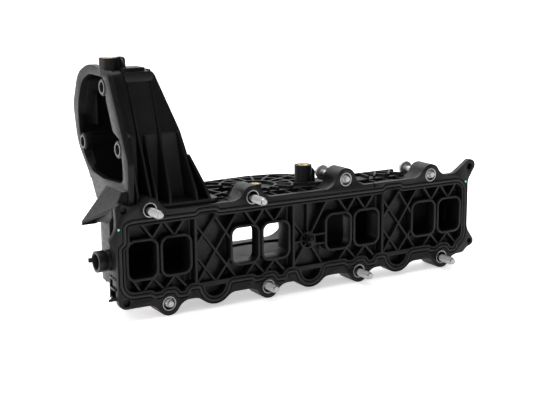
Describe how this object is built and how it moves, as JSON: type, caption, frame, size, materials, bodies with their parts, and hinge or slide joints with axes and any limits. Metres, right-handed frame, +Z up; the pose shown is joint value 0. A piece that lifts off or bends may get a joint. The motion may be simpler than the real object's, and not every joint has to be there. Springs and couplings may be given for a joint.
{
  "type": "intake manifold",
  "caption": "Moulded plastic intake manifold for a four-cylinder engine: ported head flange, ribbed plenum, tall inlet tower and captive bolts.",
  "frame": {"origin": "centre of the port pattern on the sealing face of the head flange", "axes": "+X along the head flange away from the inlet tower, -Y out of the sealing face towards the cylinder head, +Z up towards the tower"},
  "size_m": [0.3772, 0.1368, 0.2072],
  "materials": {
    "black_plastic": "glass-filled nylon as moulded, satin black",
    "black_rubber": "moulded rubber bead, dull black",
    "sleeve_steel": "turned steel, bright",
    "bushing_steel": "steel with a dark oiled surface",
    "zinc_steel": "zinc plated, pale silver",
    "insert_brass": "turned brass"
  },
  "bodies": {
    "manifold": {"head_flange": "black_plastic", "port_seal": "black_rubber", "plenum_shell": "black_plastic", "plenum_cover": "black_plastic", "inlet_tower": "black_plastic", "end_spigot": "black_plastic", "sleeve_upper_1": "sleeve_steel", "sleeve_upper_2": "sleeve_steel", "sleeve_upper_3": "sleeve_steel", "sleeve_upper_4": "sleeve_steel", "sleeve_lower_1": "sleeve_steel", "sleeve_lower_2": "sleeve_steel", "sleeve_lower_3": "sleeve_steel", "sleeve_lower_4": "sleeve_steel", "mouth_bushing_top": "bushing_steel", "mouth_bushing_rear": "bushing_steel", "mouth_bushing_front": "bushing_steel", "tower_insert": "insert_brass", "cover_insert": "insert_brass", "boss_insert": "insert_brass"},
    "bolt_upper_1": {"bolt_upper_1": "zinc_steel"},
    "bolt_upper_2": {"bolt_upper_2": "zinc_steel"},
    "bolt_upper_3": {"bolt_upper_3": "zinc_steel"},
    "bolt_upper_4": {"bolt_upper_4": "zinc_steel"},
    "bolt_lower_1": {"bolt_lower_1": "zinc_steel"},
    "bolt_lower_2": {"bolt_lower_2": "zinc_steel"},
    "bolt_lower_3": {"bolt_lower_3": "zinc_steel"},
    "bolt_lower_4": {"bolt_lower_4": "zinc_steel"}
  },
  "joints": [
    {"name": "bolt_upper_1_slide", "type": "slide", "parent": "manifold", "child": "bolt_upper_1", "axis": [0, 1, 0], "range_m": [0, 0.0175]},
    {"name": "bolt_upper_2_slide", "type": "slide", "parent": "manifold", "child": "bolt_upper_2", "axis": [0, 1, 0], "range_m": [-0.0003, 0.0172]},
    {"name": "bolt_upper_3_slide", "type": "slide", "parent": "manifold", "child": "bolt_upper_3", "axis": [0, 1, 0], "range_m": [-0.017, 0.0005]},
    {"name": "bolt_upper_4_slide", "type": "slide", "parent": "manifold", "child": "bolt_upper_4", "axis": [0, 1, 0], "range_m": [-0.017, 0.0005]},
    {"name": "bolt_lower_1_slide", "type": "slide", "parent": "manifold", "child": "bolt_lower_1", "axis": [0, 1, 0], "range_m": [-0.016, 0.0015]},
    {"name": "bolt_lower_2_slide", "type": "slide", "parent": "manifold", "child": "bolt_lower_2", "axis": [0, 1, 0], "range_m": [-0.0065, 0.011]},
    {"name": "bolt_lower_3_slide", "type": "slide", "parent": "manifold", "child": "bolt_lower_3", "axis": [0, 1, 0], "range_m": [-0.0018, 0.0157]},
    {"name": "bolt_lower_4_slide", "type": "slide", "parent": "manifold", "child": "bolt_lower_4", "axis": [0, 1, 0], "range_m": [-0.0027, 0.0148]}
  ]
}
